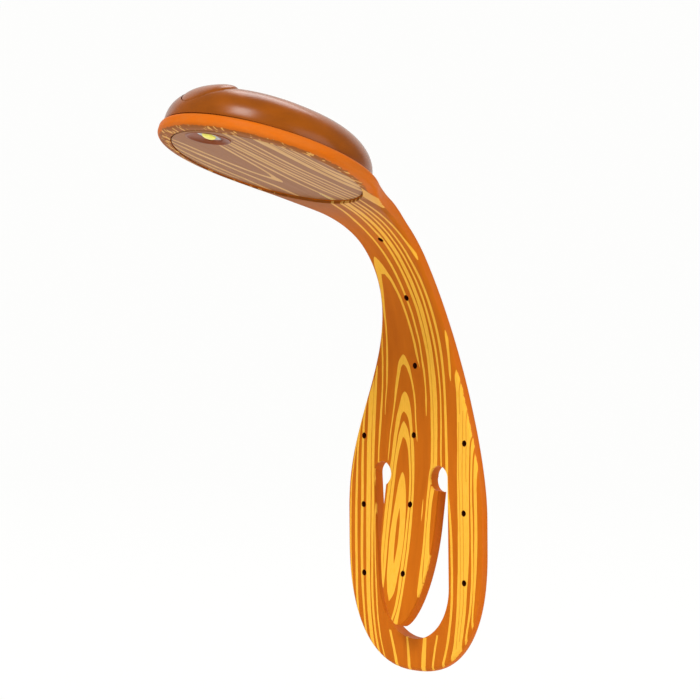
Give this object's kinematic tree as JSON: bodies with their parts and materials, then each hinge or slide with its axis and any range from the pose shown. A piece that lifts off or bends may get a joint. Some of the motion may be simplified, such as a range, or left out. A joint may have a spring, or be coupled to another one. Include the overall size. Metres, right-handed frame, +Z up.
{
  "type": "flexible clip-on reading light",
  "caption": "Flat flexible reading light: a paper-clip loop with a tongue grips a page, a bendable strip curves over it, and a round disc head with a domed back carries a lamp at its rim.",
  "frame": {"origin": "middle of the page's top edge where it meets the root of the tongue, at the centre of the strip's width", "axes": "+Z up along the page towards the strip, +X to the right of someone facing the printed face, -Y in front of the page, where the head leans"},
  "size_m": [0.057, 0.0866, 0.1477],
  "materials": {
    "printed_silicone": "satin, wood-grain print",
    "soft_iron_wire": "plain",
    "printed_plate": "satin, wood-grain print",
    "glossy_brown_plastic": "gloss",
    "bright_steel": "bright",
    "contact_brass": "bright",
    "green_laminate": "satin",
    "white_ceramic": "satin",
    "yellow_phosphor": "smooth",
    "black_plastic": "matte"
  },
  "bodies": {
    "clip": {"clip_frame": "printed_silicone", "loop_wire": "soft_iron_wire", "core_wire_yoke": "soft_iron_wire"},
    "tongue": {"clip_tongue": "printed_silicone", "core_wire_tongue": "soft_iron_wire"},
    "arm_1": {"arm_segment_1": "printed_silicone", "core_wire_1": "soft_iron_wire"},
    "arm_2": {"arm_segment_2": "printed_silicone", "core_wire_2": "soft_iron_wire"},
    "arm_3": {"arm_segment_3": "printed_silicone", "core_wire_3": "soft_iron_wire"},
    "arm_4": {"arm_segment_4": "printed_silicone", "core_wire_4": "soft_iron_wire"},
    "arm_5": {"arm_segment_5": "printed_silicone", "core_wire_5": "soft_iron_wire"},
    "head": {"head_ring": "printed_silicone", "face_plate": "printed_plate", "upper_housing": "glossy_brown_plastic", "led_bezel": "glossy_brown_plastic", "led_package": "white_ceramic", "led_lens": "yellow_phosphor", "circuit_board": "green_laminate", "board_screw_1": "bright_steel", "board_screw_2": "bright_steel", "board_screw_3": "bright_steel", "resistor_1": "white_ceramic", "resistor_2": "white_ceramic", "coin_cell_lower": "bright_steel", "coin_cell_upper": "bright_steel", "battery_cradle": "black_plastic", "negative_contact": "contact_brass", "positive_contact": "contact_brass", "switch_body": "bright_steel", "wire_ferrule": "contact_brass", "core_wire_head": "soft_iron_wire"},
    "button": {"push_button": "glossy_brown_plastic", "switch_plunger": "black_plastic"},
    "battery_door": {"battery_door": "glossy_brown_plastic"}
  },
  "joints": [
    {"name": "arm_flex_1", "type": "hinge", "parent": "clip", "child": "arm_1", "pos_m": [0, 0.00079, 0.017], "axis": [1, 0, 0], "range_deg": [-14, 12]},
    {"name": "arm_flex_2", "type": "hinge", "parent": "arm_1", "child": "arm_2", "pos_m": [0, 0.00013, 0.02866], "axis": [1, 0, 0], "range_deg": [-14, 12]},
    {"name": "arm_flex_3", "type": "hinge", "parent": "arm_2", "child": "arm_3", "pos_m": [0, -0.00232, 0.04019], "axis": [1, 0, 0], "range_deg": [-14, 12]},
    {"name": "arm_flex_4", "type": "hinge", "parent": "arm_3", "child": "arm_4", "pos_m": [0, -0.00719, 0.05099], "axis": [1, 0, 0], "range_deg": [-14, 12]},
    {"name": "arm_flex_5", "type": "hinge", "parent": "arm_4", "child": "arm_5", "pos_m": [0, -0.01515, 0.05999], "axis": [1, 0, 0], "range_deg": [-14, 12]},
    {"name": "arm_flex_6", "type": "hinge", "parent": "arm_5", "child": "head", "pos_m": [0, -0.02543, 0.06615], "axis": [1, 0, 0], "range_deg": [-14, 12]},
    {"name": "tongue_flex", "type": "hinge", "parent": "clip", "child": "tongue", "pos_m": [0, 0.00096, -0.00264], "axis": [1, 0, 0], "range_deg": [-35, 9]},
    {"name": "button_press", "type": "slide", "parent": "head", "child": "button", "axis": [0, -0.342, -0.9397], "range_m": [0, 0.0006], "stiffness_N_per_m": 1500, "springref_m": -0.0005},
    {"name": "battery_door_turn", "type": "hinge", "parent": "head", "child": "battery_door", "pos_m": [0, -0.05129, 0.08743], "axis": [0, 0.342, 0.9397], "range_deg": [0, 60]}
  ]
}
